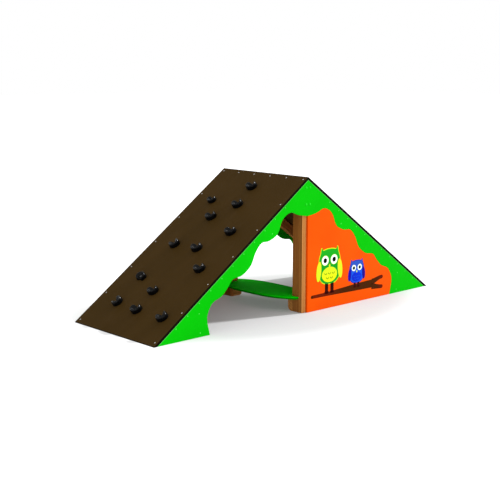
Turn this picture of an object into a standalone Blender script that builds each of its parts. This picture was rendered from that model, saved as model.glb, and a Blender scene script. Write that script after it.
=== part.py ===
# Toddler climbing ramp with a play den under it: two sloping panels on wavy gables.
# +X runs along the length to the smooth side, +Y to the back, +Z up; the origin is on the
# ground at the middle of the plan.  Front and back gables are half a turn apart about Z.
import math

import bpy
import bmesh
from mathutils import Matrix, Vector

# Overall size and the gap kept between pieces that touch (metres)
HALF_LENGTH = 1.535
HALF_WIDTH = 0.500
RIDGE_HEIGHT = 1.087
PANEL = 0.018
GAP = 0.0003

# Gable panels and the picture panels let into them
GABLE_FACE = 0.498
GABLE_BACK = GABLE_FACE - PANEL
JOINT = 0.0010
CURVE_STEPS = 4
# Right half of the wavy lower edge, from the post to the ground (distance from the middle, height)
WAVE = [
    (0.000, 0.779), (0.100, 0.796), (0.190, 0.825), (0.277, 0.778), (0.330, 0.674),
    (0.420, 0.628), (0.499, 0.621), (0.561, 0.556), (0.611, 0.461), (0.699, 0.400),
    (0.789, 0.384), (0.841, 0.328), (0.904, 0.271), (0.993, 0.232), (1.043, 0.134),
    (1.018, 0.000),
]

# Timber frame
FRAME_FACE = GABLE_BACK - GAP
POST_HALF = 0.045
POST_BACK = 0.376
RAFTER_THICKNESS = 0.040
RAFTER_BACK = FRAME_FACE - RAFTER_THICKNESS
RAFTER_DEPTH = 0.078
RIDGE_BEAM_DEPTH = 0.090
PURLIN_AT = 1.055
PURLIN_WIDTH = 0.045
PURLIN_DEPTH = 0.060
BATTEN_FROM = 1.378
BATTEN_TO = 1.478
RAIL_HEIGHT = 0.060

# Step board across the den, on a block beside each post
BLOCK_TO = 0.326
BLOCK_HEIGHT = 0.109
BLOCK_ROUND = 0.036
BLOCK_ROUND_STEPS = 6
BOARD = 0.018
# Half of the board's edge, from the middle to its tip (distance along Y, half width)
BOARD_EDGE = [
    (0.000, 0.190), (0.110, 0.188), (0.210, 0.179), (0.300, 0.157), (0.375, 0.123),
    (0.420, 0.094), (0.446, 0.066),
]
BOARD_EDGE_STEPS = 3

# Climbing holds: distance down the slope, place across it, turn in degrees, size
HOLDS = [
    (0.190, -0.020, 18, 0.94), (0.402, 0.273, 10, 0.78), (0.409, -0.049, 26, 0.94),
    (0.583, 0.111, 24, 0.94), (0.706, -0.235, 14, 0.94), (0.934, 0.218, 52, 0.90),
    (0.929, -0.048, 22, 0.94), (1.121, -0.268, 26, 0.94), (1.319, 0.238, 186, 0.86),
    (1.422, -0.015, 28, 0.90), (1.600, 0.240, 84, 0.90), (1.623, -0.023, 18, 0.94),
    (1.626, -0.338, 48, 0.94),
]
HOLD_HALF_WIDTH = 0.050
HOLD_HALF_LENGTH = 0.043
HOLD_RIM = 0.045
HOLD_LIP = 0.012
HOLD_SEAT = 0.008
HOLD_COLLAR = 0.0135
HOLD_SIDES = 16
# The open side of the cup faces up the slope, between two horns (degrees)
CUP_OPENING = 90
CUP_SPREAD = 34
NOTCH = 0.38
NOTCH_SPREAD = 22
HORN = 0.12
HORN_SPREAD = 20
HORNS_AT = (44, 136)
# The hold's section from the bolt outwards (share of its reach, share of its height)
HOLD_SECTION = [(0.42, 0.34), (0.62, 0.62), (0.80, 1.00), (0.93, 0.70), (1.00, 0.22), (1.00, 0.0)]

# Bolts (radii and lengths)
BOLT = 0.005
BOLT_HEAD = 0.008
BOLT_HEAD_HEIGHT = 0.008
BOLT_HEAD_EDGE = 0.001
BOLT_BEYOND = 0.006
APEX_SPREAD = 0.020
APEX_HEIGHTS = (1.004, 0.873)
APEX_SHANK = 0.004
APEX_LENGTH = 0.064
CAP_RADIUS = 0.0095
CAP_RISE = 0.0045
CAP_RIM = 0.001
# The cap's dome (share of its radius, share of its rise)
CAP_DOME = [(0.0, 1.0), (0.47, 0.93), (0.80, 0.68)]
SEAT_BOLT_AT = 0.350
SEAT_BOLT_LENGTH = 0.075
SEAT_BOLT_SINK = 0.0055
BORE_SIDES = 12
BORE_PAST = 0.006
MERGE = 0.00001

SLOPE = math.atan2(RIDGE_HEIGHT, HALF_LENGTH)
SIN, COS, TAN = math.sin(SLOPE), math.cos(SLOPE), math.tan(SLOPE)
UNDER = PANEL + GAP

MATERIALS = {
    "brown_board": ((0.046, 0.023, 0.006), 0.60, 0.0),
    "green_plastic": ((0.003, 0.630, 0.004), 0.38, 0.0),
    "orange_plastic": ((0.913, 0.119, 0.004), 0.38, 0.0),
    "timber": ((0.420, 0.205, 0.070), 0.65, 0.0),
    "black_plastic": ((0.010, 0.010, 0.012), 0.28, 0.0),
    "steel": ((0.560, 0.560, 0.570), 0.32, 1.0),
    "green_cap": ((0.004, 0.430, 0.006), 0.35, 0.0),
}


def clear_scene():
    for obj in list(bpy.data.objects):
        bpy.data.objects.remove(obj, do_unlink=True)


def material(name):
    found = bpy.data.materials.get(name)
    if found:
        return found
    colour, roughness, metallic = MATERIALS[name]
    made = bpy.data.materials.new(name)
    made.use_nodes = True
    shader = made.node_tree.nodes["Principled BSDF"]
    shader.inputs["Base Color"].default_value = (*colour, 1.0)
    shader.inputs["Roughness"].default_value = roughness
    shader.inputs["Metallic"].default_value = metallic
    return made


def add_object(name, bm, finish=None, matrix=None):
    bmesh.ops.recalc_face_normals(bm, faces=bm.faces)
    mesh = bpy.data.meshes.new(name)
    bm.to_mesh(mesh)
    bm.free()
    obj = bpy.data.objects.new(name, mesh)
    if finish:
        mesh.materials.append(material(finish))
    if matrix is not None:
        obj.matrix_world = matrix
    bpy.context.scene.collection.objects.link(obj)
    return obj


def underside_z(x, depth):
    """Height of the line that lies this deep under the slopes' top faces."""
    return RIDGE_HEIGHT - abs(x) * TAN - depth / COS


def underside_x(z, depth):
    return (RIDGE_HEIGHT - z) / TAN - depth / SIN


def slope_point(s, depth):
    """(x, z) on the right slope, s down from the ridge and this deep under its top face."""
    return (s * COS - depth * SIN, RIDGE_HEIGHT - s * SIN - depth * COS)


def smooth_curve(points, steps):
    """Catmull-Rom curve through the points, which are pairs."""
    pts = [Vector(p) for p in points]
    pts = [2 * pts[0] - pts[1]] + pts + [2 * pts[-1] - pts[-2]]
    curve = []
    for a, b, c, d in zip(pts, pts[1:], pts[2:], pts[3:]):
        for step in range(steps):
            t = step / steps
            curve.append(0.5 * (2 * b + (c - a) * t + (2 * a - 5 * b + 4 * c - d) * t * t
                                + (3 * b - 3 * c + d - a) * t ** 3))
    curve.append(pts[-2])
    return curve


def mirrored(outline, side):
    return [(side * x, z) for x, z in outline]


def prism(name, outline, low, high, finish, axis="Y"):
    """Closed solid: an outline in XZ run along Y, in YZ run along X, or in XY run along Z."""
    place = {
        "Y": lambda a, b, c: (a, c, b),
        "X": lambda a, b, c: (c, a, b),
        "Z": lambda a, b, c: (a, b, c),
    }[axis]
    bm = bmesh.new()
    face = bm.faces.new([bm.verts.new(place(a, b, low)) for a, b in outline])
    grown = bmesh.ops.extrude_face_region(bm, geom=[face])
    verts = [v for v in grown["geom"] if isinstance(v, bmesh.types.BMVert)]
    bmesh.ops.translate(bm, verts=verts, vec=Vector(place(0.0, 0.0, high - low)))
    return add_object(name, bm, finish)


def turned(bm, profile, sides, matrix):
    """Adds a solid turned about its local Z from (radius, height) pairs."""
    verts = [bm.verts.new((r, 0.0, z)) for r, z in profile]
    edges = [bm.edges.new(pair) for pair in zip(verts, verts[1:])]
    bmesh.ops.spin(bm, geom=verts + edges, axis=(0, 0, 1), cent=(0, 0, 0),
                   steps=sides, angle=math.tau, use_merge=True)
    bmesh.ops.remove_doubles(bm, verts=bm.verts, dist=MERGE)
    new = [v for v in bm.verts if not v.tag]
    bmesh.ops.transform(bm, matrix=matrix, verts=new)
    for v in new:
        v.tag = True


def turned_object(name, profile, sides, finish, matrix):
    bm = bmesh.new()
    turned(bm, profile, sides, Matrix.Identity(4))
    return add_object(name, bm, finish, matrix)


def widened(profile, gap):
    """The same turned profile with room round it, for the hole that takes it."""
    low = min(z for _, z in profile)
    return [(r + gap if r else 0.0, z - gap if z == low else z) for r, z in profile]


def cut(targets, name, profile, places):
    """Takes one turned hole at each place out of each target."""
    bm = bmesh.new()
    for matrix in places:
        turned(bm, profile, BORE_SIDES, matrix)
    cutter = add_object(name, bm)
    cutter.hide_render = True
    cutter.display_type = "WIRE"
    for target in targets:
        hole = target.modifiers.new(name, "BOOLEAN")
        hole.operation = "DIFFERENCE"
        hole.solver = "EXACT"
        hole.object = cutter


def slope_panel(name, side):
    ridge_x = GAP / 2
    outline = [
        (ridge_x, RIDGE_HEIGHT - ridge_x * TAN),
        (HALF_LENGTH, 0.0),
        (underside_x(0.0, PANEL), 0.0),
        (ridge_x, underside_z(ridge_x, PANEL)),
    ]
    return prism(name, mirrored(outline, side), -HALF_WIDTH, HALF_WIDTH, "brown_board")


def gable_panel(name, side):
    foot = (underside_x(0.0, UNDER), 0.0)
    wave = [tuple(p) for p in smooth_curve(WAVE, CURVE_STEPS)]
    left_wave = mirrored(reversed(wave[1:]), -1)
    outline = [foot, (0.0, underside_z(0.0, UNDER)), (-foot[0], 0.0)] + left_wave + wave
    return prism(name, outline, side * GABLE_BACK, side * GABLE_FACE, "green_plastic")


def picture_panel(name, side):
    """Fills the wavy opening on one side of the post: +X in front, -X at the back."""
    wave = smooth_curve(WAVE, CURVE_STEPS)
    inner = []
    for before, here, after in zip([wave[0]] + wave, wave, wave[1:] + [wave[-1]]):
        run = (after - before).normalized()
        inner.append((here.x + run.y * JOINT, here.y - run.x * JOINT))
    inner = [(x, z) for x, z in inner if z > JOINT and x >= 0.0]
    end_x = wave[-1].x - JOINT
    outline = [(0.0, 0.0), (0.0, wave[0].y - JOINT)] + inner[1:] + [(end_x, 0.0)]
    low, high = side * GABLE_BACK, side * GABLE_FACE
    return prism(name, mirrored(outline, -side), low, high, "orange_plastic")


def post(name, side):
    outline = [
        (-POST_HALF, 0.0), (POST_HALF, 0.0), (POST_HALF, underside_z(POST_HALF, UNDER)),
        (0.0, underside_z(0.0, UNDER)), (-POST_HALF, underside_z(POST_HALF, UNDER)),
    ]
    return prism(name, outline, side * POST_BACK, side * FRAME_FACE, "timber")


def ridge_beam():
    edge = underside_z(POST_HALF, UNDER)
    outline = [
        (-POST_HALF, edge), (0.0, underside_z(0.0, UNDER)), (POST_HALF, edge),
        (POST_HALF, edge - RIDGE_BEAM_DEPTH), (-POST_HALF, edge - RIDGE_BEAM_DEPTH),
    ]
    half = POST_BACK - GAP
    return prism("ridge_beam", outline, -half, half, "timber")


def rafter(name, side_x, side_y):
    top = POST_HALF + GAP
    below = UNDER + RAFTER_DEPTH
    outline = [
        (top, underside_z(top, UNDER)), (underside_x(0.0, UNDER), 0.0),
        (underside_x(0.0, below), 0.0), (top, underside_z(top, below)),
    ]
    low, high = side_y * RAFTER_BACK, side_y * FRAME_FACE
    return prism(name, mirrored(outline, side_x), low, high, "timber")


def purlin(name, side):
    near, far = PURLIN_AT - PURLIN_WIDTH / 2, PURLIN_AT + PURLIN_WIDTH / 2
    outline = [
        slope_point(near, UNDER), slope_point(far, UNDER),
        slope_point(far, UNDER + PURLIN_DEPTH), slope_point(near, UNDER + PURLIN_DEPTH),
    ]
    half = RAFTER_BACK - GAP
    return prism(name, mirrored(outline, side), -half, half, "timber")


def foot_batten(name, side):
    outline = [
        (BATTEN_FROM, 0.0), (BATTEN_TO, 0.0),
        (BATTEN_TO, underside_z(BATTEN_TO, UNDER)),
        (BATTEN_FROM, underside_z(BATTEN_FROM, UNDER)),
    ]
    half = RAFTER_BACK - GAP
    return prism(name, mirrored(outline, side), -half, half, "timber")


def bottom_rail(name, side):
    """Backs the picture panel along the ground, between the post and the rafter's foot."""
    end = underside_x(RAIL_HEIGHT, UNDER + RAFTER_DEPTH) - GAP * 3
    outline = [
        (POST_HALF + GAP, 0.0), (end, 0.0), (end, RAIL_HEIGHT), (POST_HALF + GAP, RAIL_HEIGHT),
    ]
    low, high = side * RAFTER_BACK, side * FRAME_FACE
    return prism(name, mirrored(outline, -side), low, high, "timber")


def seat_block(name, side):
    """Stands inside the post; its lower inner corner is rounded."""
    outer, inner = POST_BACK - GAP, BLOCK_TO
    corner = [
        (inner + BLOCK_ROUND * (1 - math.sin(a)), BLOCK_ROUND * (1 - math.cos(a)))
        for a in (math.radians(90 * k / BLOCK_ROUND_STEPS) for k in range(BLOCK_ROUND_STEPS + 1))
    ]
    outline = [(outer, 0.0)] + corner + [(inner, BLOCK_HEIGHT), (outer, BLOCK_HEIGHT)]
    outline = [(side * y, z) for y, z in outline]
    return prism(name, outline, -POST_HALF, POST_HALF, "timber", axis="X")


def seat_board():
    """Oval step board, notched at both ends to pass either side of the posts."""
    edge = [(p.y, p.x) for p in smooth_curve(BOARD_EDGE, BOARD_EDGE_STEPS)]
    notch_x, notch_y = POST_HALF + GAP, POST_BACK - GAP
    quarter = edge + [(notch_x, BOARD_EDGE[-1][0]), (notch_x, notch_y)]
    right = [(x, -y) for x, y in reversed(quarter[1:])] + quarter
    left = [(-x, -y) for x, y in right]
    low = BLOCK_HEIGHT + GAP
    return prism("seat_board", right + left, low, low + BOARD, "green_plastic", axis="Z")


def near_angle(angle, centre, spread):
    """1 at the centre angle, falling smoothly to 0 away from it (degrees)."""
    away = (angle - centre + 180) % 360 - 180
    return math.exp(-(away / spread) ** 2)


def hold_mesh(size):
    """A cupped hold about its bolt, open up the slope, with a high rim round the rest."""
    bore, recess = BOLT + GAP, (BOLT_HEAD + GAP * 2)
    rings = []
    well = [(bore, 0.0), (bore, HOLD_SEAT), (recess, HOLD_SEAT), (recess, HOLD_COLLAR)]
    angles = [360 * k / HOLD_SIDES for k in range(HOLD_SIDES)]
    for radius, z in well:
        rings.append([(radius, math.radians(a), z) for a in angles])
    for share, rise in HOLD_SECTION:
        ring = []
        for a in angles:
            turn = math.radians(a)
            oval = 1 / math.hypot(math.cos(turn) / HOLD_HALF_WIDTH,
                                  math.sin(turn) / HOLD_HALF_LENGTH)
            horns = sum(near_angle(a, horn, HORN_SPREAD) for horn in HORNS_AT)
            notch = near_angle(a, CUP_OPENING, NOTCH_SPREAD)
            reach = size * oval * (1 - NOTCH * notch + HORN * horns)
            top = HOLD_RIM - (HOLD_RIM - HOLD_LIP) * near_angle(a, CUP_OPENING, CUP_SPREAD)
            ring.append((reach * share, turn, size * top * rise))
        rings.append(ring)
    bm = bmesh.new()
    verts = [[bm.verts.new((r * math.cos(t), r * math.sin(t), z)) for r, t, z in ring]
             for ring in rings]
    for ring, outer in zip(verts, verts[1:] + verts[:1]):
        for k in range(HOLD_SIDES):
            after = (k + 1) % HOLD_SIDES
            bm.faces.new((ring[k], ring[after], outer[after], outer[k]))
    return bm


def hold_place(s, y, turn):
    """Frame on the climbing slope: local Y up the slope, local Z out of it."""
    x, z = slope_point(s, -GAP)
    up = Vector((COS, 0.0, SIN))
    out = Vector((-SIN, 0.0, COS))
    right = up.cross(out)
    axes = Matrix((right, up, out)).transposed().to_4x4()
    return Matrix.Translation((-x, y, z)) @ axes @ Matrix.Rotation(math.radians(turn), 4, "Z")


def climbing_holds(panel):
    head, seat = BOLT_HEAD, HOLD_SEAT + GAP
    crown = seat + BOLT_HEAD_HEIGHT
    end = -(PANEL + BOLT_BEYOND)
    profile = [
        (0.0, crown), (head - BOLT_HEAD_EDGE, crown), (head, crown - BOLT_HEAD_EDGE),
        (head, seat), (BOLT, seat), (BOLT, end), (0.0, end),
    ]
    places = []
    for number, (s, y, turn, size) in enumerate(HOLDS, 1):
        place = hold_place(s, y, turn)
        add_object(f"climbing_hold_{number:02d}", hold_mesh(size), "black_plastic", place)
        turned_object(f"hold_bolt_{number:02d}", profile, BORE_SIDES, "steel", place)
        places.append(place)
    wide = BOLT + GAP
    bore = [(0.0, BORE_PAST), (wide, BORE_PAST), (wide, end), (0.0, end)]
    cut([panel], "hold_bores", bore, places)


def apex_bolts(end_name, side, gable, upright):
    """Four capped bolts through the gable's peak into the post."""
    dome = [(share * CAP_RADIUS, GAP + rise * CAP_RISE) for share, rise in CAP_DOME]
    cap = dome + [
        (CAP_RADIUS, GAP + CAP_RIM), (CAP_RADIUS, GAP), (APEX_SHANK, GAP),
        (APEX_SHANK, GAP - APEX_LENGTH), (0.0, GAP - APEX_LENGTH),
    ]
    wide = APEX_SHANK + GAP
    hole = [(0.0, BORE_PAST), (wide, BORE_PAST), (wide, -APEX_LENGTH), (0.0, -APEX_LENGTH)]
    places = []
    facing = Matrix.Rotation(math.radians(-90 * side), 4, "X")
    for z in APEX_HEIGHTS:
        for x in (-APEX_SPREAD, APEX_SPREAD):
            place = Matrix.Translation((x, side * GABLE_FACE, z)) @ facing
            number = len(places) + 1
            turned_object(f"{end_name}_apex_bolt_{number}", cap, BORE_SIDES, "green_cap", place)
            places.append(place)
    cut([gable, upright], f"{end_name}_apex_bores", hole, places)


def seat_bolt(name, side, board, block):
    top = BLOCK_HEIGHT + GAP + BOARD
    shank = APEX_SHANK
    profile = [
        (0.0, 0.0), (BOLT_HEAD, 0.0), (BOLT_HEAD, -BOLT_HEAD_EDGE), (shank, -SEAT_BOLT_SINK),
        (shank, -SEAT_BOLT_LENGTH), (0.0, -SEAT_BOLT_LENGTH),
    ]
    place = Matrix.Translation((0.0, side * SEAT_BOLT_AT, top - GAP))
    turned_object(name, profile, BORE_SIDES, "steel", place)
    hole = [(r, z if z else BORE_PAST) for r, z in widened(profile, GAP)]
    cut([board, block], f"{name}_bore", hole, [place])


def build():
    clear_scene()
    climbing = slope_panel("climbing_slope_panel", -1)
    slope_panel("smooth_slope_panel", 1)
    board = seat_board()
    ridge_beam()
    for end_name, side in (("front", -1), ("back", 1)):
        gable = gable_panel(f"{end_name}_gable_panel", side)
        picture_panel(f"{end_name}_picture_panel", side)
        upright = post(f"{end_name}_post", side)
        block = seat_block(f"{end_name}_seat_block", side)
        bottom_rail(f"{end_name}_bottom_rail", side)
        rafter(f"{end_name}_left_rafter", -1, side)
        rafter(f"{end_name}_right_rafter", 1, side)
        apex_bolts(end_name, side, gable, upright)
        seat_bolt(f"{end_name}_seat_bolt", side, board, block)
    for side_name, side in (("left", -1), ("right", 1)):
        purlin(f"{side_name}_purlin", side)
        foot_batten(f"{side_name}_foot_batten", side)
    climbing_holds(climbing)


build()
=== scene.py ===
import math

import bmesh
import bpy
from mathutils import Matrix, Vector


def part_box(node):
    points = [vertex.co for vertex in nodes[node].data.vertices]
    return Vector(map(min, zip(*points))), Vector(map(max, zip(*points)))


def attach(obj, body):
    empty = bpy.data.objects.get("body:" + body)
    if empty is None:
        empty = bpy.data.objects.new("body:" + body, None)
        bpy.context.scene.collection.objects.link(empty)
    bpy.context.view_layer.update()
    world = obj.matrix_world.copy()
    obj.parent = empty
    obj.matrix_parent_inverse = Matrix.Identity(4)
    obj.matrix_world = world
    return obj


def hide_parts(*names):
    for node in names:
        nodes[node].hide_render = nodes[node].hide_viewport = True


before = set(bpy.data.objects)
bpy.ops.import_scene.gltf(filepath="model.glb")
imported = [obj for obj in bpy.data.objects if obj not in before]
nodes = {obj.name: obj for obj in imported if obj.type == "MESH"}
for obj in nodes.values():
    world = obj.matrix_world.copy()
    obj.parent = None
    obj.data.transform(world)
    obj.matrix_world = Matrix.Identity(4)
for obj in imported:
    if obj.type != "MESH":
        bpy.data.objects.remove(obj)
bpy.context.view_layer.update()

body = "root"
gap = 0.0003  # kept between pieces that touch

# the ridge, the slopes' angle and the panels' thickness, all read from the frame
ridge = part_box("climbing_slope_panel")[1].z
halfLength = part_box("smooth_slope_panel")[1].x
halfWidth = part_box("smooth_slope_panel")[1].y
slope = math.atan2(ridge, halfLength)
sine, cosine = math.sin(slope), math.cos(slope)
slopeLength = math.hypot(ridge, halfLength)
gableFace = -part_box("front_gable_panel")[0].y
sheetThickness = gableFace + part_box("front_gable_panel")[1].y


class Sock:  # a socket that takes + - * / with numbers and other sockets on either side
    def __init__(self, finish, socket):
        self.finish = finish
        self.socket = socket

    def sum(self, operation, a, b):
        return self.finish.node("ShaderNodeMath", {"operation": operation}, {0: a, 1: b})

    def __add__(self, other):
        return self.sum("ADD", self, other)

    def __sub__(self, other):
        return self.sum("SUBTRACT", self, other)

    def __rsub__(self, other):
        return self.sum("SUBTRACT", other, self)

    def __mul__(self, other):
        return self.sum("MULTIPLY", self, other)

    def __truediv__(self, other):
        return self.sum("DIVIDE", self, other)

    def __rtruediv__(self, other):
        return self.sum("DIVIDE", other, self)

    __radd__ = __add__
    __rmul__ = __mul__


class Finish:  # one material; every node but the maths comes from node()
    def __init__(self, name, constants):
        self.material = bpy.data.materials.new(name)
        self.material.use_nodes = True
        self.tree = self.material.node_tree
        self.shader = self.tree.nodes["Principled BSDF"]
        for socket, value in constants.items():
            self.shader.inputs[socket].default_value = value

    def node(self, kind, settings, values, output=0):
        made = self.tree.nodes.new(kind)
        for key, value in settings.items():
            setattr(made, key, value)
        for key, value in values.items():
            self.feed(made.inputs[key], value)
        return Sock(self, made.outputs[output])

    def feed(self, socket, value):
        if isinstance(value, Sock):
            self.tree.links.new(value.socket, socket)
        else:
            socket.default_value = value

    def set(self, name, value):
        self.feed(self.shader.inputs[name], value)

    def axes(self, vector):
        parts = self.tree.nodes.new("ShaderNodeSeparateXYZ")
        self.feed(parts.inputs[0], vector)
        return [Sock(self, output) for output in parts.outputs]

    def sized(self, value):
        return self.node("ShaderNodeMath", {"operation": "ABSOLUTE"}, {0: value})

    def place(self, turn=(0, 0, 0), scale=(1, 1, 1)):  # object coordinates, turned and scaled
        where = self.node("ShaderNodeTexCoord", {}, {}, "Object")
        return self.node("ShaderNodeMapping", {}, {"Vector": where, "Rotation": turn, "Scale": scale})

    def noise(self, where, scale, detail=3.0, rough=0.55):
        return self.node("ShaderNodeTexNoise", {},
                         {"Vector": where, "Scale": scale, "Detail": detail, "Roughness": rough})

    def sine(self, value):
        return self.node("ShaderNodeMath", {"operation": "SINE"}, {0: value})

    def band(self, value, low, high):  # 0 below low, 1 above high
        return self.node("ShaderNodeMapRange", {"interpolation_type": "SMOOTHSTEP"},
                         {"Value": value, "From Min": low, "From Max": high})

    def blend(self, factor, first, second, way="MIX"):
        return self.node("ShaderNodeMix", {"data_type": "RGBA", "blend_type": way},
                         {0: factor, 6: first, 7: second}, 2)

    def bump(self, height, strength, distance=0.001):
        self.set("Normal", self.node("ShaderNodeBump", {},
                                     {"Height": height, "Strength": strength, "Distance": distance}))


def rgb(red, green, blue):  # screen colour to the linear values that a shader takes
    def straight(value):
        part = value / 255
        return part / 12.92 if part <= 0.04045 else ((part + 0.055) / 1.055) ** 2.4
    return (straight(red), straight(green), straight(blue), 1.0)


# film-faced board: fine anti-slip tread on top, sealed dark edges
board = {"top": rgb(57, 41, 14), "pale": rgb(61, 44, 17), "speck": rgb(74, 54, 24),
         "worn": rgb(78, 58, 32), "edge": rgb(11, 9, 4), "tread": 0.0042, "roughness": 0.70,
         "faceFrom": 0.0004, "faceTo": 0.0020, "rimFrom": 0.0030, "rimTo": 0.0060,
         "footRim": 0.0090, "sideRim": (0.0050, 0.0025)}


def brownBoard():
    paint = Finish("brownBoard", {"Specular IOR Level": 0.02})
    where = paint.place()
    x, y, z = paint.axes(where)
    out = paint.sized(x)
    down = cosine * out + sine * (ridge - z)
    depth = cosine * (ridge - z) - sine * out
    near, far = board["faceFrom"], board["faceTo"]
    top = 1 - paint.band(depth, near, far)
    under = paint.band(depth, sheetThickness - far, sheetThickness - near)
    rim = 1 - paint.band(down, board["rimFrom"], board["rimTo"])
    rim = rim + paint.band(down, slopeLength - board["footRim"], slopeLength - board["rimTo"])
    inner, outer = board["sideRim"]
    rim = rim + paint.band(paint.sized(y), halfWidth - inner, halfWidth - outer)
    cloud = paint.noise(where, 2.2, 4.0)
    speck = paint.noise(where, 190.0, 2.0)
    worn = paint.band(paint.noise(paint.place(scale=(1, 6, 1)), 3.0, 5.0, 0.7), 0.52, 0.78)
    shade = paint.blend(paint.band(cloud, 0.34, 0.68), board["top"], board["pale"])
    shade = paint.blend(0.22 * speck, shade, board["speck"])
    shade = paint.blend(0.10 * worn * top, shade, board["worn"])
    sealed = (1 - top) * (1 - under)
    sealed = sealed + rim * (1 - sealed)
    paint.set("Base Color", paint.blend(sealed, shade, board["edge"]))
    turn = 2 * math.pi / board["tread"]
    tread = paint.sine(down * turn + 0.5 * paint.sine(y * turn)) * paint.sine(y * turn)
    paint.set("Roughness", board["roughness"] + 0.14 * (speck - 0.5) - 0.10 * worn)
    paint.bump(tread * top + 0.8 * speck, 0.35, 0.0006)
    return paint.material


# sheet plastic with a fine pebbled skin and a few hair scratches; a painted highlight along the top
# edges and painted shade round a step's lower edge
skin = {"fine": 620.0, "gloss": 0.02, "scuff": (0.80, 0.80, 0.80, 1), "cut": rgb(120, 206, 118),
        "cutFrom": 0.020, "cutTo": 0.025, "cutShare": 0.45, "edgeFrom": 0.006, "edgeTo": 0.003,
        "scratchScale": (2.0, 30.0, 60.0), "scratchTurn": (0, 0.5, 0)}


def plasticSheet(name, colour, deep, roughness=0.46, cutEdge=False, paintedEdgeShade=None):
    paint = Finish(name, {"Specular IOR Level": skin["gloss"]})
    where = paint.place()
    cloud = paint.noise(where, 3.5, 3.0)
    pebble = paint.noise(where, skin["fine"], 2.0)
    scratch = paint.noise(paint.place(skin["scratchTurn"], skin["scratchScale"]), 9.0, 4.0, 0.7)
    mark = paint.band(scratch, 0.62, 0.74)
    shade = paint.blend(paint.band(cloud, 0.3, 0.7), deep, colour)
    shade = paint.blend(0.10 * pebble, shade, deep)
    shade = paint.blend(0.02 * mark, shade, skin["scuff"])
    if cutEdge:  # painted highlight: a paler band along the top edges, where they meet the slopes
        x, y, z = paint.axes(where)
        depth = cosine * (ridge - z) - sine * paint.sized(x)
        cut = 1 - paint.band(depth, skin["cutFrom"], skin["cutTo"])
        shade = paint.blend(skin["cutShare"] * cut, shade, skin["cut"])
    if paintedEdgeShade is not None:  # painted shade: darker round the edge, below the top face
        height, edge = paintedEdgeShade
        x, y, z = paint.axes(where)
        edgeShadeMask = 1 - paint.band(z, height - skin["edgeFrom"], height - skin["edgeTo"])
        shade = paint.blend(edgeShadeMask, shade, edge)
    paint.set("Base Color", shade)
    paint.set("Roughness", roughness + 0.12 * (pebble - 0.5) + 0.10 * mark)
    paint.bump(pebble + 0.4 * scratch, 0.18, 0.0004)
    return paint.material


# softwood: colours, then how far the grain, the fibres and the knots are drawn out lengthwise
wood = {"early": rgb(212, 146, 78), "late": rgb(178, 110, 48), "dark": rgb(104, 60, 24),
        "paintedSideShade": (0.60, 0.56, 0.46, 1), "rings": 260.0, "wander": 26.0, "roughness": 0.58,
        "grainRun": (1, 1, 0.06), "fibreRun": (1, 1, 0.02), "knotRun": (1, 1, 0.35),
        "fibre": 420.0, "knots": 7.0, "knotCore": 0.03, "knotEdge": 0.085, "seam": 0.055,
        "lineCore": 0.0004, "lineEdge": 0.0016, "seamSoft": 0.0005}


def timber(name, turn, seam=None, shadedSidesAt=None, tone=1.0):  # turn brings the piece's length upright
    paint = Finish(name, {"Specular IOR Level": 0.10})
    along = paint.place(turn)
    stretched = paint.node("ShaderNodeMapping", {}, {"Vector": along, "Scale": wood["grainRun"]})
    x, y, z = paint.axes(along)
    drift = paint.noise(stretched, 9.0, 3.0)
    rings = paint.sine((x * 0.8 + y) * wood["rings"] + drift * wood["wander"])
    grain = paint.band(rings, -0.7, 0.95)
    drawn = paint.node("ShaderNodeMapping", {}, {"Vector": along, "Scale": wood["fibreRun"]})
    fibre = paint.noise(drawn, wood["fibre"], 3.0, 0.7)
    stain = paint.noise(stretched, 4.0, 2.0)
    shade = paint.blend(0.62 * grain, wood["early"], wood["late"])
    shade = paint.blend(0.45 * paint.band(fibre, 0.5, 0.75), shade, wood["dark"])
    shade = paint.blend(0.30 * paint.band(stain, 0.45, 0.75), shade, wood["late"])
    knotPlace = paint.node("ShaderNodeMapping", {}, {"Vector": along, "Scale": wood["knotRun"]})
    knots = paint.node("ShaderNodeTexVoronoi", {}, {"Vector": knotPlace, "Scale": wood["knots"]},
                       "Distance")
    knot = 1 - paint.band(knots, wood["knotCore"], wood["knotEdge"])
    shade = paint.blend(0.8 * knot, shade, wood["dark"])
    height = 0.5 * fibre - 0.25 * grain
    if seam is not None:  # a glue line between two laminations, one of them a little darker
        side = paint.sized(y)
        line = 1 - paint.band(paint.sized(side - seam), wood["lineCore"], wood["lineEdge"])
        inner = 1 - paint.band(side, seam - wood["seamSoft"], seam + wood["seamSoft"])
        shade = paint.blend(0.28 * inner, shade, wood["late"])
        shade = paint.blend(0.75 * line, shade, wood["dark"])
        height = height - line
    if shadedSidesAt is not None:  # painted shade: the side faces are darker than the front and back faces
        sideShadeMask = paint.band(paint.sized(x), shadedSidesAt - wood["lineEdge"], shadedSidesAt - wood["lineCore"])
        shade = paint.blend(sideShadeMask, shade, paint.blend(1.0, shade, wood["paintedSideShade"], "MULTIPLY"))
    if tone != 1.0:
        shade = paint.blend(1.0, shade, (tone, tone, tone, 1), "MULTIPLY")
    paint.set("Base Color", shade)
    paint.set("Roughness", wood["roughness"] + 0.2 * (fibre - 0.5) + 0.1 * knot)
    paint.bump(height, 0.30, 0.0006)
    return paint.material


moulding = {"colour": rgb(4, 4, 5), "dust": rgb(60, 54, 50), "grain": 900.0, "clouds": 26.0}


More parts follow.
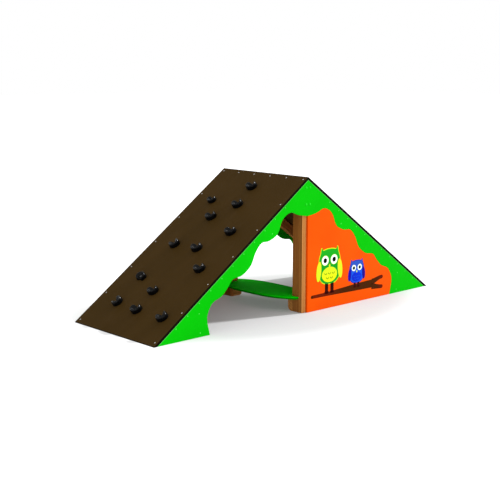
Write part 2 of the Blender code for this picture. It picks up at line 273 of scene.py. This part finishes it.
def blackMoulding():  # moulded plastic with a fine grain and a little dust
    paint = Finish("blackMoulding", {"Specular IOR Level": 0.13})
    where = paint.place()
    grain = paint.noise(where, moulding["grain"], 2.0)
    dust = paint.band(paint.noise(where, moulding["clouds"], 5.0, 0.65), 0.52, 0.85)
    paint.set("Base Color", paint.blend(0.06 * dust, moulding["colour"], moulding["dust"]))
    paint.set("Roughness", 0.22 + 0.08 * grain + 0.20 * dust)
    paint.bump(grain, 0.08, 0.0004)
    return paint.material


bright = {"pale": (0.62, 0.61, 0.60, 1), "dull": (0.36, 0.35, 0.33, 1), "fine": 700.0,
          "clouds": 60.0}


def stainless():
    paint = Finish("stainless", {"Metallic": 1.0})
    where = paint.place()
    fine = paint.noise(where, bright["fine"], 2.0)
    cloud = paint.noise(where, bright["clouds"], 3.0)
    paint.set("Base Color", paint.blend(0.35 * cloud, bright["pale"], bright["dull"]))
    paint.set("Roughness", 0.24 + 0.22 * fine)
    paint.bump(fine, 0.08, 0.0002)
    return paint.material


# flat coloured inlay; the second colour comes in along one direction of the panel
def artwork(name, colour, second, turn=0.0, soft=0.05, middle=0.0, strength=1.0):
    paint = Finish(name, {"Specular IOR Level": skin["gloss"]})
    where = paint.place()
    x, y, z = paint.axes(where)
    cloud = paint.noise(where, 34.0, 3.0)
    pebble = paint.noise(where, skin["fine"], 2.0)
    reach = math.cos(turn) * x + math.sin(turn) * z + 0.03 * (cloud - 0.5)
    shade = paint.blend(strength * paint.band(reach, middle - soft, middle + soft), colour, second)
    paint.set("Base Color", paint.blend(0.10 * pebble, shade, second))
    paint.set("Roughness", 0.42 + 0.12 * (pebble - 0.5))
    paint.bump(pebble, 0.15, 0.0004)
    return paint.material


# pale floor that glows a little, more so away from the object
floorLook = {"near": 0.12, "far": 0.55, "long": 1.45, "wide": 1.0, "from": 0.85, "to": 1.25,
             "pale": rgb(188, 188, 189), "dull": rgb(180, 180, 181)}


def floorPaint():
    paint = Finish("studioFloor", {"Specular IOR Level": 0.0, "Roughness": 0.9,
                                   "Emission Strength": 1.0})
    where = paint.place()
    cloud = paint.noise(where, 0.6, 2.0)
    paint.set("Base Color", paint.blend(0.1 * cloud, floorLook["pale"], floorLook["dull"]))
    x, y, z = paint.axes(where)
    x, y = x / floorLook["long"], y / floorLook["wide"]
    away = paint.band(x * x + y * y, floorLook["from"] ** 2, floorLook["to"] ** 2)
    glow = [tuple([floorLook[way]] * 3 + [1]) for way in ("near", "far")]
    paint.set("Emission Color", paint.blend(away, *glow))
    return paint.material


brown = brownBoard()
# the gables get a painted highlight, a paler band along their top edges
green = plasticSheet("greenSheet", rgb(3, 182, 4), rgb(2, 176, 3), cutEdge=True)
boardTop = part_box("seat_board")[1].z
# the step's edge, below its top face, is darkened as painted shade
stepGreen = plasticSheet("stepSheet", rgb(2, 244, 3), rgb(1, 236, 2), 0.85,
                         paintedEdgeShade=(boardTop, rgb(2, 128, 3)))
orange = plasticSheet("orangeSheet", rgb(230, 82, 2), rgb(226, 77, 1))
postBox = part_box("back_post")
# the posts get painted shade on their side faces
uprightGrain = timber("timberUpright", (0, 0, 0), postBox[0].y + wood["seam"], postBox[1].x)
crossGrain = timber("timberAcross", (math.pi / 2, 0, 0), tone=0.9)
levelGrain = timber("timberLengthwise", (0, -math.pi / 2, 0), tone=0.9)
leftGrain = timber("timberLeftSlope", (0, slope - math.pi / 2, 0), tone=0.85)
rightGrain = timber("timberRightSlope", (0, -slope - math.pi / 2, 0), tone=0.85)
black = blackMoulding()
steel = stainless()
capGreen = plasticSheet("capGreen", rgb(34, 206, 38), rgb(28, 198, 32), 0.35)
screwGreen = plasticSheet("screwGreen", rgb(92, 222, 92), rgb(80, 214, 80), 0.35)
print("finishes made")


def finishPiece(name, bm, material, smooth=38.0, matrix=None):
    mesh = bpy.data.meshes.new(name)
    if matrix is not None:
        bmesh.ops.transform(bm, matrix=matrix, verts=bm.verts)
    bm.to_mesh(mesh)
    bm.free()
    mesh.materials.append(material)
    mesh.shade_smooth()
    mesh.set_sharp_from_angle(angle=math.radians(smooth))
    piece = bpy.data.objects.new(name, mesh)
    bpy.context.scene.collection.objects.link(piece)
    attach(piece, body)
    return piece


easing = {"merge": 0.00002, "flat": math.radians(0.6), "sharp": math.radians(30.0),
          "shortest": 0.0065, "sliver": 0.00001}


def eased(node, name, material, width, segments=3):
    # a copy of the frame's node with its sharp edges rounded over
    bm = bmesh.new()
    bm.from_mesh(nodes[node].data)
    bmesh.ops.remove_doubles(bm, verts=bm.verts, dist=easing["merge"])
    bmesh.ops.dissolve_limit(bm, angle_limit=easing["flat"], verts=bm.verts, edges=bm.edges,
                             use_dissolve_boundaries=False)
    sharp = [e for e in bm.edges if len(e.link_faces) == 2
             and e.calc_face_angle() > easing["sharp"] and e.calc_length() > easing["shortest"]]
    bmesh.ops.bevel(bm, geom=sharp, offset=width, offset_type="OFFSET", affect="EDGES",
                    segments=segments, profile=0.5, material=-1, clamp_overlap=True)
    bmesh.ops.dissolve_degenerate(bm, dist=easing["sliver"], edges=bm.edges)
    piece = finishPiece(name, bm, material, 46.0)
    weigh = piece.modifiers.new("weightedNormals", "WEIGHTED_NORMAL")
    weigh.keep_sharp = True
    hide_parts(node)
    return piece


pointMerge = 0.000005


def turned(profile, steps):  # a closed or open profile of (radius, height) spun about Z
    bm = bmesh.new()
    verts = [bm.verts.new((r, 0, z)) for r, z in profile]
    edges = [bm.edges.new(pair) for pair in zip(verts, verts[1:])]
    bmesh.ops.spin(bm, geom=verts + edges, axis=(0, 0, 1), cent=(0, 0, 0), steps=steps,
                   angle=math.tau, use_merge=True)
    bmesh.ops.remove_doubles(bm, verts=bm.verts, dist=pointMerge)
    bmesh.ops.recalc_face_normals(bm, faces=bm.faces)
    return bm


def gather(parts):  # several bmeshes as one
    whole = bmesh.new()
    for part, matrix in parts:
        mesh = bpy.data.meshes.new("part")
        bmesh.ops.transform(part, matrix=matrix, verts=part.verts)
        part.to_mesh(mesh)
        part.free()
        whole.from_mesh(mesh)
        bpy.data.meshes.remove(mesh)
    return whole


def onSlope(side, s, y, lift=0.0):  # frame on a slope: local Y up the slope, local Z out of it
    up = Vector((-side * cosine, 0, sine))
    out = Vector((side * sine, 0, cosine))
    place = Vector((side * s * cosine, y, ridge - s * sine)) + out * lift
    right = up.cross(out)
    return Matrix.Translation(place) @ Matrix((right, up, out)).transposed().to_4x4()


def onGable(side, x, z):  # frame on a gable's outer face: local Z out of it
    facing = Matrix.Rotation(-side * math.pi / 2, 4, "X")
    return Matrix.Translation((x, side * gableFace, z)) @ facing


rounding = {"board": 0.0014, "gable": 0.0024, "picture": 0.0016, "step": 0.0055, "timber": 0.0035}
eased("climbing_slope_panel", "climbingSlope", brown, rounding["board"], 2)
eased("smooth_slope_panel", "smoothSlope", brown, rounding["board"], 2)
for end in ("front", "back"):
    eased(f"{end}_gable_panel", f"{end}Gable", green, rounding["gable"])
    eased(f"{end}_picture_panel", f"{end}PicturePanel", orange,
          rounding["picture"])
eased("seat_board", "stepBoard", stepGreen, rounding["step"], 4)
print("panels made")

timbers = {
    "front_post": uprightGrain, "back_post": uprightGrain,
    "front_left_rafter": leftGrain, "back_left_rafter": leftGrain,
    "front_right_rafter": rightGrain, "back_right_rafter": rightGrain,
    "ridge_beam": crossGrain, "left_purlin": crossGrain, "right_purlin": crossGrain,
    "left_foot_batten": crossGrain, "right_foot_batten": crossGrain,
    "front_bottom_rail": levelGrain, "back_bottom_rail": levelGrain,
    "front_seat_block": levelGrain, "back_seat_block": levelGrain,
}
for node, grain in timbers.items():
    eased(node, node.replace("_", " ").title().replace(" ", ""), grain,
          rounding["timber"])
print("timbers made")


hold = {"steps": 40, "halfWidth": 0.050, "halfLength": 0.043, "rim": 0.045, "lip": 0.012,
        "crest": 0.80, "notch": 0.38, "notchSpread": 22, "cupSpread": 34, "horn": 0.12,
        "hornSpread": 20, "cup": 0.30, "seat": 0.0083, "recess": 0.0088, "bore": 0.0053,
        "collar": 0.0132, "dish": 0.0100, "dishShare": 0.24, "opening": 90, "hornsAt": (44, 136),
        "skirt": 0.12, "round": 2.2}
# distance down the slope, place across it, turn in degrees, size
holdPlaces = [
    (0.190, -0.020, 18, 0.94), (0.402, 0.273, 10, 0.78), (0.409, -0.049, 26, 0.94),
    (0.583, 0.111, 24, 0.94), (0.706, -0.235, 14, 0.94), (0.934, 0.218, 52, 0.90),
    (0.929, -0.048, 22, 0.94), (1.121, -0.268, 26, 0.94), (1.319, 0.238, 186, 0.86),
    (1.422, -0.015, 28, 0.90), (1.600, 0.240, 84, 0.90), (1.623, -0.023, 18, 0.94),
    (1.626, -0.338, 48, 0.94),
]


def nearAngle(angle, centre, spread):  # 1 at the centre angle, falling to 0 away from it
    away = (angle - centre + 180) % 360 - 180
    return math.exp(-(away / spread) ** 2)


def makeHold(size):  # spun about its bolt, then pulled to a cup that is open up the slope
    shares = [hold["dishShare"], 0.32, 0.42, 0.52, 0.61, 0.69, 0.75, 0.80, 0.85, 0.90, 0.95, 0.985]
    profile = [(hold["bore"], 0.0), (hold["bore"], hold["seat"]), (hold["recess"], hold["seat"]),
               (hold["recess"], hold["collar"])]
    profile += [(1 + share, 1.0) for share in shares] + [(2.0, 0.5), (2.0, 0.0)]
    bm = turned(profile + [profile[0]], hold["steps"])
    for vert in bm.verts:
        radius = math.hypot(vert.co.x, vert.co.y)
        if radius < 0.5:
            continue
        share = radius - 1
        turn = math.atan2(vert.co.y, vert.co.x)
        angle = math.degrees(turn)
        oval = 1 / math.hypot(math.cos(turn) / hold["halfWidth"], math.sin(turn) / hold["halfLength"])
        notch = hold["notch"] * nearAngle(angle, hold["opening"], hold["notchSpread"])
        horns = sum(nearAngle(angle, way, hold["hornSpread"]) for way in hold["hornsAt"])
        reach = size * oval * (1 - notch + hold["horn"] * horns)
        gate = nearAngle(angle, hold["opening"], hold["cupSpread"])
        top = hold["rim"] - (hold["rim"] - hold["lip"]) * gate
        if share < hold["crest"]:
            t = max(0.0, (share - hold["dishShare"]) / (hold["crest"] - hold["dishShare"]))
            rise = hold["cup"] + (1 - hold["cup"]) * t * t * (3 - 2 * t)
        else:
            t = (share - hold["crest"]) / (1 - hold["crest"])
            crown = math.sqrt(max(0.0, 1 - t ** hold["round"]))
            rise = hold["skirt"] + (1 - hold["skirt"]) * crown
        low = vert.co.z if vert.co.z < 1 else 1.0
        along = (share - hold["dishShare"]) / (1 - hold["dishShare"])
        out = hold["dish"] + (reach - hold["dish"]) * along
        vert.co = Vector((out * math.cos(turn), out * math.sin(turn), size * top * rise * low))
    return bm


bolt = {"head": 0.0080, "height": 0.0080, "shank": 0.0050, "key": 0.0040, "deep": 0.0052,
        "beyond": 0.006, "edge": 0.0008, "keyEdge": 0.0004, "point": 0.001, "steps": 24}


def makeBolt():  # socket-head bolt, turned, whose recess is then pulled to a hexagon
    top = hold["seat"] + bolt["height"]
    end = -(sheetThickness + bolt["beyond"])
    floor = top - bolt["deep"]
    profile = [
        (0, floor - bolt["point"]), (bolt["key"], floor), (bolt["key"], top - bolt["keyEdge"]),
        (bolt["key"] + bolt["keyEdge"], top), (bolt["head"] - bolt["edge"], top),
        (bolt["head"], top - bolt["edge"]), (bolt["head"], hold["seat"] + gap),
        (bolt["shank"], hold["seat"] + gap), (bolt["shank"], end + bolt["point"]),
        (bolt["shank"] - bolt["point"], end), (0, end),
    ]
    bm = turned(profile, bolt["steps"])
    for vert in bm.verts:
        radius = math.hypot(vert.co.x, vert.co.y)
        if 0.001 < radius < bolt["key"] + 0.0002 and vert.co.z > floor - 0.0005:
            turn = math.atan2(vert.co.y, vert.co.x)
            part = (turn + math.pi / 6) % (math.pi / 3) - math.pi / 6
            wide = bolt["key"] * math.cos(math.pi / 6) / math.cos(part) * 1.1
            vert.co.x, vert.co.y = wide * math.cos(turn), wide * math.sin(turn)
    return bm


# T-nut as (radius, distance below the board's underside)
teeNut = [(0.0054, 0.0002), (0.0110, 0.0002), (0.0115, 0.0008), (0.0110, 0.0016), (0.0078, 0.0016),
          (0.0072, 0.0024), (0.0054, 0.0026), (0.0054, 0.0002)]


def makeTeeNut():  # flange against the board's underside, with a collar round its bore
    return turned([(radius, -sheetThickness - deep) for radius, deep in teeNut], bolt["steps"])


for number, (s, y, turn, size) in enumerate(holdPlaces, 1):
    place = onSlope(-1, s, y, gap) @ Matrix.Rotation(math.radians(turn), 4, "Z")
    shape = finishPiece(f"hold{number:02d}", makeHold(size), black, 60.0, place)
    rounder = shape.modifiers.new("rounded", "SUBSURF")
    rounder.levels = 1
    rounder.render_levels = 1
    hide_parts(f"climbing_hold_{number:02d}")
    pin = finishPiece(f"holdBolt{number:02d}", makeBolt(), steel, 35.0, place)
    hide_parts(f"hold_bolt_{number:02d}")
    finishPiece(f"teeNut{number:02d}", makeTeeNut(), steel, 35.0, place)
print("holds made")

screw = {"radius": 0.0054, "rise": 0.0013, "socket": 0.0018, "sunk": 0.0012, "steps": 12}


def makeScrew(scale):  # low domed head with a round driver pocket
    radius, rise, sunk = screw["radius"] * scale, screw["rise"] * scale, screw["sunk"]
    socket = screw["socket"] * scale
    profile = [
        (0, rise - sunk), (socket, rise - sunk), (socket, rise), (radius * 0.62, rise * 0.86),
        (radius * 0.92, rise * 0.45), (radius, 0.0001), (radius, -sunk), (0, -1.5 * sunk),
    ]
    return turned(profile, screw["steps"])


def screwSet(name, places, material, scale=1.0):
    parts = [(makeScrew(scale), place) for place in places]
    return finishPiece(name, gather(parts), material, 40.0)


slopeScrews = {"fromSide": 0.032, "first": 0.034, "last": 1.839, "rows": 7, "ridgeCount": 6}
sideY = halfWidth - slopeScrews["fromSide"]
for side, name in ((-1, "climbingSlopeScrews"), (1, "smoothSlopeScrews")):
    step = (slopeScrews["last"] - slopeScrews["first"]) / (slopeScrews["rows"] - 1)
    spacing = 2 * sideY / (slopeScrews["ridgeCount"] - 1)
    places = [onSlope(side, slopeScrews["first"] + row * step, y)
              for row in range(slopeScrews["rows"]) for y in (-sideY, sideY)]
    places += [onSlope(side, slopeScrews["first"], -sideY + k * spacing)
               for k in range(1, slopeScrews["ridgeCount"] - 1)]
    screwSet(name, places, steel)

# green-headed screws along the gables' upper edges, and a few beside the wave
gableScrews = {"depth": 0.036, "first": 0.33, "step": 0.133, "count": 11, "scale": 0.80,
               "more": [(1.120, 0.175), (1.110, 0.030), (0.388, 0.680)]}
for side, name in ((-1, "front"), (1, "back")):
    spots = list(gableScrews["more"])
    for k in range(gableScrews["count"]):
        s = gableScrews["first"] + k * gableScrews["step"]
        spots.append((s * cosine - gableScrews["depth"] * sine,
                      ridge - s * sine - gableScrews["depth"] * cosine))
    places = [onGable(side, x * way, z) for x, z in spots for way in (-1, 1)]
    screwSet(f"{name}GableScrews", places, screwGreen, gableScrews["scale"])

# cap on a bolt's end; its dome as shares of the radius and the rise, ending at the panel
cap = {"radius": 0.0095, "rise": 0.0034, "steps": 32,
       "dome": [(0, 1), (0.35, 0.97), (0.62, 0.82), (0.82, 0.55), (0.86, 0.30), (1, 0.26)]}
apexNumbers = [(end, number) for end in ("front", "back") for number in range(1, 5)]
for end, number in apexNumbers:
    low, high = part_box(f"{end}_apex_bolt_{number}")
    side = -1 if end == "front" else 1
    r, h = cap["radius"], cap["rise"]
    dome = [(r * out, h * up) for out, up in cap["dome"]] + [(r, gap), (0, gap)]
    place = onGable(side, (low.x + high.x) / 2, (low.z + high.z) / 2)
    piece = finishPiece(f"{end}ApexCap{number}", turned(dome, cap["steps"]), capGreen,
                        50.0, place)
    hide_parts(f"{end}_apex_bolt_{number}")

# countersunk head with a round pocket, as (radius, height from the board's top)
sunkHead = [(0, -0.0028), (0.0030, -0.0026), (0.0034, -0.0004), (0.0042, 0.0), (0.0078, 0.0),
            (0.0080, -0.0004), (0.0040, -0.0054)]
for end in ("front", "back"):
    low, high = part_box(f"{end}_seat_bolt")
    sunk = sunkHead + [(sunkHead[-1][0], low.z - high.z), (0, low.z - high.z)]
    place = Matrix.Translation(((low.x + high.x) / 2, (low.y + high.y) / 2, high.z))
    piece = finishPiece(f"{end}BoardBolt", turned(sunk, bolt["steps"]), steel, 35.0,
                        place)
    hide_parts(f"{end}_seat_bolt")
print("fasteners made")


# the picture on each orange panel: a plain pair of owls on a branch, in layers of flat colour
layer = 0.0004


def raised(bm, centre, level, turn=0.0):  # gives a flat shape its thickness and its place
    grown = bmesh.ops.extrude_face_region(bm, geom=bm.faces[:])
    verts = [g for g in grown["geom"] if isinstance(g, bmesh.types.BMVert)]
    bmesh.ops.translate(bm, verts=verts, vec=(0, 0, layer * level))
    bmesh.ops.recalc_face_normals(bm, faces=bm.faces)
    bmesh.ops.rotate(bm, verts=bm.verts, cent=(0, 0, 0), matrix=Matrix.Rotation(turn, 3, "Z"))
    bmesh.ops.translate(bm, verts=bm.verts, vec=(centre[0], centre[1], 0))
    return bm


def patch(centre, half, level, shape=None, turn=0.0, segments=40):
    bm = bmesh.new()
    bmesh.ops.create_circle(bm, cap_ends=True, segments=segments, radius=1.0)
    for vert in bm.verts:
        angle = math.atan2(vert.co.y, vert.co.x)
        x, z = shape(angle) if shape else (math.cos(angle), math.sin(angle))
        vert.co = Vector((x * half[0], z * half[1], 0))
    return raised(bm, centre, level, turn)


def limb(stations, level, steps=8):  # a tapering strip through (x, z, half width) stations
    bm = bmesh.new()
    spans = len(stations) - 1
    bmesh.ops.create_grid(bm, x_segments=spans * steps, y_segments=1, size=1.0)
    for vert in bm.verts:
        along = (vert.co.x + 1) / 2 * spans
        first = min(int(along + 0.0001), spans - 1)
        t = along - first
        soft = t * t * (3 - 2 * t)
        here, there = stations[first], stations[first + 1]
        x = here[0] + (there[0] - here[0]) * t
        z, half = (here[k] + (there[k] - here[k]) * soft for k in (1, 2))
        rise = (there[1] - here[1]) / (there[0] - here[0]) * 6 * t * (1 - t)
        across = Vector((-rise, 1)).normalized() * half * math.copysign(1, vert.co.y)
        vert.co = Vector((x + across.x, z + across.y, 0))
    return raised(bm, (0, 0), level)


def squarish(power):
    def shape(angle):
        c, s = math.cos(angle), math.sin(angle)
        return (math.copysign(abs(c) ** (2 / power), c), math.copysign(abs(s) ** (2 / power), s))
    return shape


def owlShape(tuft):  # squarish body with the same ear tuft at each top corner
    def shape(angle):
        x, z = squarish(2.8)(angle)
        around = math.degrees(angle)
        return x, z + tuft * (nearAngle(around, 50, 8) + nearAngle(around, 130, 8))
    return shape


def arc(centre, radius, thick, level):  # the lower half of a thin ring
    bm = bmesh.new()
    edge = bm.edges.new([bm.verts.new((-r, 0, 0)) for r in (radius, radius + thick)])
    bmesh.ops.spin(bm, geom=list(edge.verts) + [edge], axis=(0, 0, 1), cent=(0, 0, 0), steps=12,
                   angle=math.pi)
    return raised(bm, centre, level)


upward = math.pi / 2
inks = {
    "leaf": artwork("inkLeaf", rgb(16, 150, 34), rgb(40, 180, 20), upward, 0.10, 0.46, 0.6),
    "lime": artwork("inkLime", rgb(190, 226, 30), rgb(216, 236, 40), upward, 0.05, 0.48, 0.7),
    "yellow": artwork("inkYellow", rgb(220, 232, 16), rgb(202, 232, 40), upward, 0.05, 0.28, 0.7),
    "olive": artwork("inkOlive", rgb(96, 112, 8), rgb(84, 100, 8), 0.0, 0.05, 0.25, 0.6),
    "amber": artwork("inkAmber", rgb(206, 228, 34), rgb(230, 206, 26), upward, 0.05, 0.37, 0.8),
    "white": artwork("inkWhite", rgb(240, 250, 244), rgb(222, 240, 230), 0.0, 0.08, 0.4, 0.5),
    "black": artwork("inkBlack", rgb(6, 5, 7), rgb(12, 10, 12), 0.0, 0.08, 0.4, 0.5),
    "bark": artwork("inkBark", rgb(104, 26, 2), rgb(66, 30, 1), 0.0, 0.16, 0.30),
    "twig": artwork("inkTwig", rgb(66, 30, 1), rgb(98, 22, 3), 0.0, 0.05, 0.88),
    "legs": artwork("inkLegs", rgb(60, 6, 2), rgb(30, 8, 6), upward, 0.03, 0.16, 0.8),
    "azure": artwork("inkAzure", rgb(20, 84, 216), rgb(48, 80, 168), upward, 0.04, 0.29, 0.8),
    "royal": artwork("inkRoyal", rgb(12, 40, 190), rgb(14, 56, 214), 0.0, 0.05, 0.6, 0.6),
    "navy": artwork("inkNavy", rgb(22, 12, 160), rgb(34, 10, 110), 0.0, 0.04, 0.66, 0.8),
}

# a straight bough that thickens to the right and forks once, with rounded ends
bough = {"left": 0.055, "right": 0.820, "height": 0.118, "thin": 0.013, "thick": 0.034,
         "rise": 0.010, "back": 0.040, "reach": 0.090,
         "forks": [(0.170, 0.016), (0.086, 0.016)]}  # height and half width of each twig's end

# parts of an owl as shares of its half width and half height, out and up from its middle, but for
# the rim, which is in metres, and the wing's tilt, which is in radians
owlPlan = {"tuft": 0.26, "rim": 0.006, "eyeOut": 0.42, "eyeUp": 0.36, "eye": 0.31, "pupil": 0.52,
           "beakUp": 0.02, "beak": (0.08, 0.12), "bellyUp": -0.48, "belly": (0.72, 0.44),
           "wingOut": 1.00, "wingUp": -0.22, "wing": (0.22, 0.58), "wingTilt": 0.10,
           "feathers": [(-0.36, -0.36), (0.0, -0.36), (0.36, -0.36), (-0.18, -0.62), (0.18, -0.62)],
           "feather": 0.085, "legOut": 0.26, "leg": 0.15, "toe": 0.09}
owls = {
    "Owl": {"centre": (0.256, 0.346), "half": (0.125, 0.142), "body": "leaf", "rim": "lime",
            "belly": "yellow", "wing": "amber", "mark": "olive"},
    "Chick": {"centre": (0.588, 0.258), "half": (0.086, 0.092), "body": "azure", "rim": "navy",
              "belly": "royal", "wing": "navy", "mark": "azure"},
}


def boughParts():
    left, right, height = bough["left"], bough["right"], bough["height"]
    thin, thick = bough["thin"], bough["thick"]
    stem = [(left, height, thin), (right, height + bough["rise"], thick)]
    yield "Branch", "bark", [limb(stem, 1)]
    tips = [(right + bough["reach"], z, half) for z, half in bough["forks"]]
    root = right - bough["back"]
    twigs = [limb([(root, (height + tip[1]) / 2, thick * 0.7), tip], 1.2) for tip in tips]
    yield "Twigs", "twig", twigs
    ends = [(left, height, thin)] + tips
    yield "BranchEnds", "twig", [patch((x, z), (r, r), 1.3, segments=24) for x, z, r in ends]


def owlParts(prefix):
    owl, plan = owls[prefix], owlPlan
    w, h = owl["half"]

    def at(out, up):
        return owl["centre"][0] + out * w, owl["centre"][1] + up * h

    bothSides = (-1, 1)
    eyes = [at(way * plan["eyeOut"], plan["eyeUp"]) for way in bothSides]
    eye, rim = plan["eye"] * w, plan["rim"]
    shape = owlShape(plan["tuft"])
    yield prefix + "Outline", owl["rim"], [patch(at(0, 0), (w + rim, h + rim), 1, shape, segments=96)]
    yield prefix + "Body", owl["body"], [patch(at(0, 0), (w, h), 2, shape, segments=96)]
    belly = (plan["belly"][0] * w, plan["belly"][1] * h)
    yield prefix + "Belly", owl["belly"], [patch(at(0, plan["bellyUp"]), belly, 3)]
    wing = (plan["wing"][0] * w, plan["wing"][1] * h)
    yield prefix + "Wings", owl["wing"], [patch(at(way * plan["wingOut"], plan["wingUp"]), wing, 3,
                                                turn=way * plan["wingTilt"]) for way in bothSides]
    feather = plan["feather"] * w
    yield prefix + "Feathers", owl["mark"], [arc(at(out, up), feather, feather * 0.5, 4)
                                             for out, up in plan["feathers"]]
    yield prefix + "Rims", owl["rim"], [patch(spot, (eye + rim / 2,) * 2, 2.6) for spot in eyes]
    yield prefix + "Eyes", "white", [patch(spot, (eye, eye), 3) for spot in eyes]
    pupil = eye * plan["pupil"]
    yield prefix + "Pupils", "black", [patch(spot, (pupil, pupil), 4) for spot in eyes]
    beak = (plan["beak"][0] * w, plan["beak"][1] * h)
    yield prefix + "Beak", "amber", [patch(at(0, plan["beakUp"]), beak, 4, squarish(1.3), segments=24)]
    low = bough["height"] + bough["thin"]
    high = owl["centre"][1] - 0.9 * h
    legs = [(at(way * plan["legOut"], 0)[0], (low + high) / 2) for way in bothSides]
    leg, toe = plan["leg"] * w, plan["toe"] * w
    yield prefix + "Legs", "legs", [patch(spot, (leg, (high - low) / 2 + 0.006), 1.6, squarish(5))
                                    for spot in legs]
    yield prefix + "Feet", "legs", [patch((x + k * leg * 0.8, low), (toe, toe), 1.7, segments=20)
                                    for x, z in legs for k in (-1, 0, 1)]


gablePlane = Matrix.Translation((0, -gableFace, 0)) @ Matrix.Rotation(math.pi / 2, 4, "X")
halfTurn = Matrix.Rotation(math.pi, 4, "Z")
for end, place in (("front", gablePlane), ("back", halfTurn @ gablePlane)):
    for drawing in (boughParts(), owlParts("Owl"), owlParts("Chick")):
        for name, ink, parts in drawing:
            whole = gather([(part, Matrix.Identity(4)) for part in parts])
            finishPiece(end + name, whole, inks[ink], 30.0, place)
print("pictures drawn")

studio = {"ambient": 1.0, "backdrop": 1.0, "sun": 3.8, "sunWay": (-1.3, 0.44, -1.0),
          "sunSpread": 4.0, "floorSize": 60.0}

floorMesh = bmesh.new()
bmesh.ops.create_grid(floorMesh, x_segments=1, y_segments=1, size=studio["floorSize"])
floorData = bpy.data.meshes.new("studioFloor")
floorMesh.to_mesh(floorData)
floorMesh.free()
floorData.materials.append(floorPaint())
floor = bpy.data.objects.new("studioFloor", floorData)
bpy.context.scene.collection.objects.link(floor)
floor.location.z = -0.0005

# the sky lights softly but looks plain white behind the object
world = bpy.data.worlds.new("studio")
bpy.context.scene.world = world
world.use_nodes = True
wires = world.node_tree
sky = wires.nodes["Background"]
sky.inputs["Strength"].default_value = studio["ambient"]
backdrop = wires.nodes.new("ShaderNodeBackground")
backdrop.inputs["Strength"].default_value = studio["backdrop"]
for light in (sky, backdrop):
    light.inputs["Color"].default_value = (1, 1, 1, 1)
chooser = wires.nodes.new("ShaderNodeMixShader")
seen = wires.nodes.new("ShaderNodeLightPath")
wires.links.new(seen.outputs["Is Camera Ray"], chooser.inputs[0])
wires.links.new(sky.outputs[0], chooser.inputs[1])
wires.links.new(backdrop.outputs[0], chooser.inputs[2])
wires.links.new(chooser.outputs[0], wires.nodes["World Output"].inputs["Surface"])

sun = bpy.data.lights.new("key", "SUN")
sun.energy = studio["sun"]
sun.angle = math.radians(studio["sunSpread"])
sunObject = bpy.data.objects.new("key", sun)
sunObject.rotation_mode = "QUATERNION"
sunObject.rotation_quaternion = Vector(studio["sunWay"]).to_track_quat("-Z", "Y")
bpy.context.scene.collection.objects.link(sunObject)

viewpoint = {"place": (-5.7411, -6.0452, 1.9207), "yaw": 0.7455, "pitch": 0.1753, "lens": 73.82}
lensData = bpy.data.cameras.new("camera")
lensData.lens = viewpoint["lens"]
lensData.clip_end = 200.0
camera = bpy.data.objects.new("camera", lensData)
camera.location = viewpoint["place"]
camera.rotation_euler = (math.pi / 2 - viewpoint["pitch"], 0, -viewpoint["yaw"])
bpy.context.scene.collection.objects.link(camera)
bpy.context.scene.camera = camera
bpy.context.scene.view_settings.view_transform = "Standard"
print("studio set")
